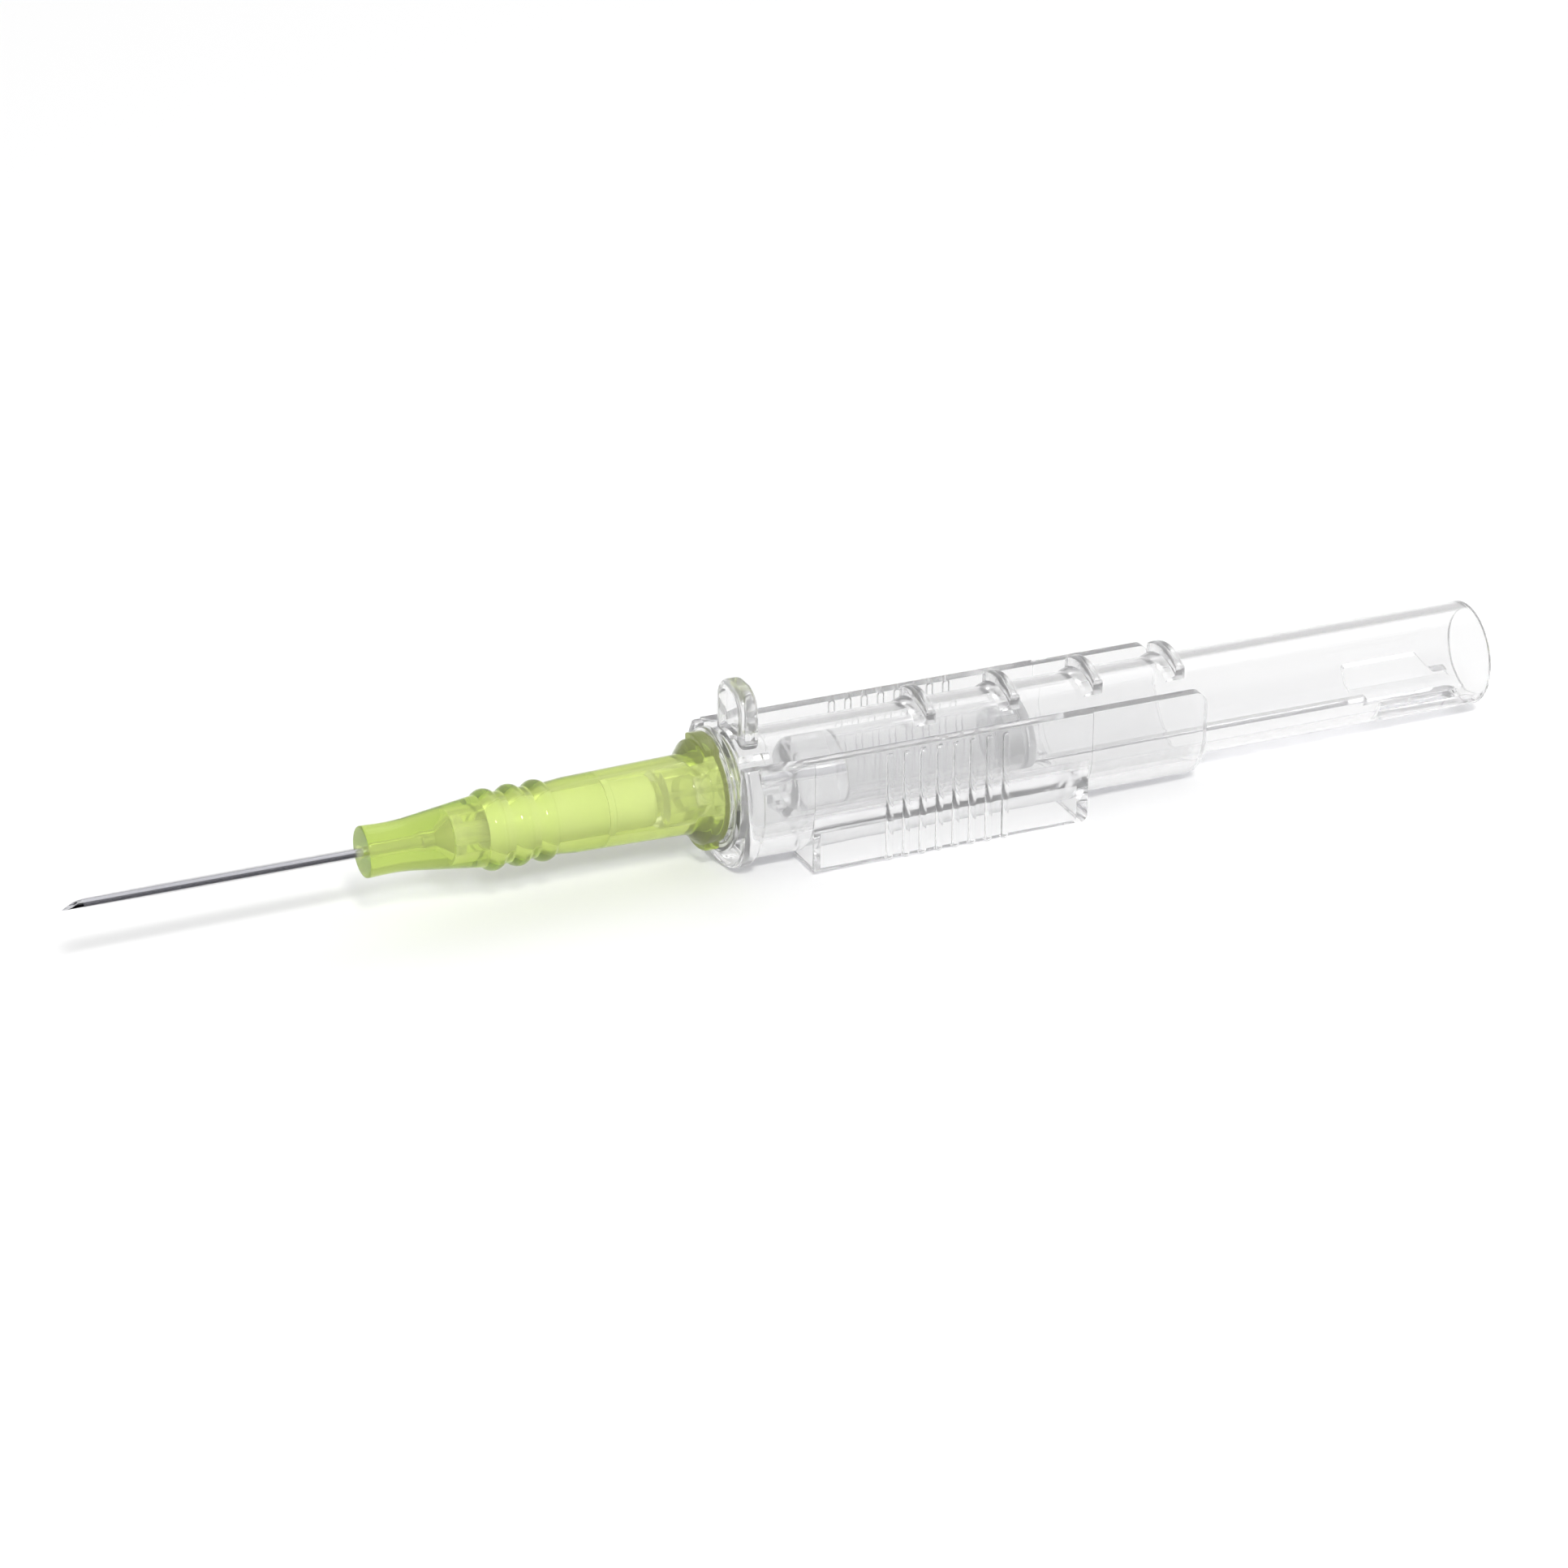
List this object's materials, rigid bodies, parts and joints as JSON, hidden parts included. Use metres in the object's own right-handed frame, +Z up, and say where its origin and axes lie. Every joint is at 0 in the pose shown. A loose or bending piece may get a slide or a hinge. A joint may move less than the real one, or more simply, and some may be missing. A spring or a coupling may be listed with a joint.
{
  "type": "intravenous cannula",
  "caption": "Safety intravenous cannula: bevelled needle in a thin catheter with a luer hub, a clear sliding guard with push tab, and a ribbed open-topped handle.",
  "frame": {"origin": "middle of the base of the whole device's box; the device axis is 5.45 mm above it", "axes": "+X along the device from the needle to the guard's open end, +Z up through the push tab, +Y across"},
  "size_m": [0.1018, 0.0109, 0.0128],
  "materials": {
    "steel": "polished stainless steel tube",
    "adhesive": "cured clear adhesive",
    "clear_plastic": "clear moulded polycarbonate, glossy",
    "frosted_plastic": "natural moulded polypropylene",
    "porous_filter": "sintered porous plastic",
    "green_plastic": "translucent yellow-green moulded plastic, glossy",
    "catheter_plastic": "thin translucent polymer tube",
    "wedge_metal": "drawn stainless steel eyelet",
    "silicone": "translucent white silicone"
  },
  "bodies": {
    "handle": {"housing": "clear_plastic", "needle_hub": "clear_plastic", "needle": "steel", "needle_adhesive": "adhesive", "vent_plug": "frosted_plastic", "vent_filter": "porous_filter"},
    "guard": {"needle_guard": "clear_plastic"},
    "catheter": {"catheter_hub": "green_plastic", "catheter_tube": "catheter_plastic", "catheter_wedge": "wedge_metal", "valve_post": "frosted_plastic", "valve_seal": "silicone"}
  },
  "joints": [
    {"name": "guard_slide", "type": "slide", "parent": "handle", "child": "guard", "axis": [-1, 0, 0], "range_m": [0, 0.0435]},
    {"name": "catheter_pull_off", "type": "slide", "parent": "guard", "child": "catheter", "axis": [-1, 0, 0], "range_m": [0, 0.046]}
  ]
}
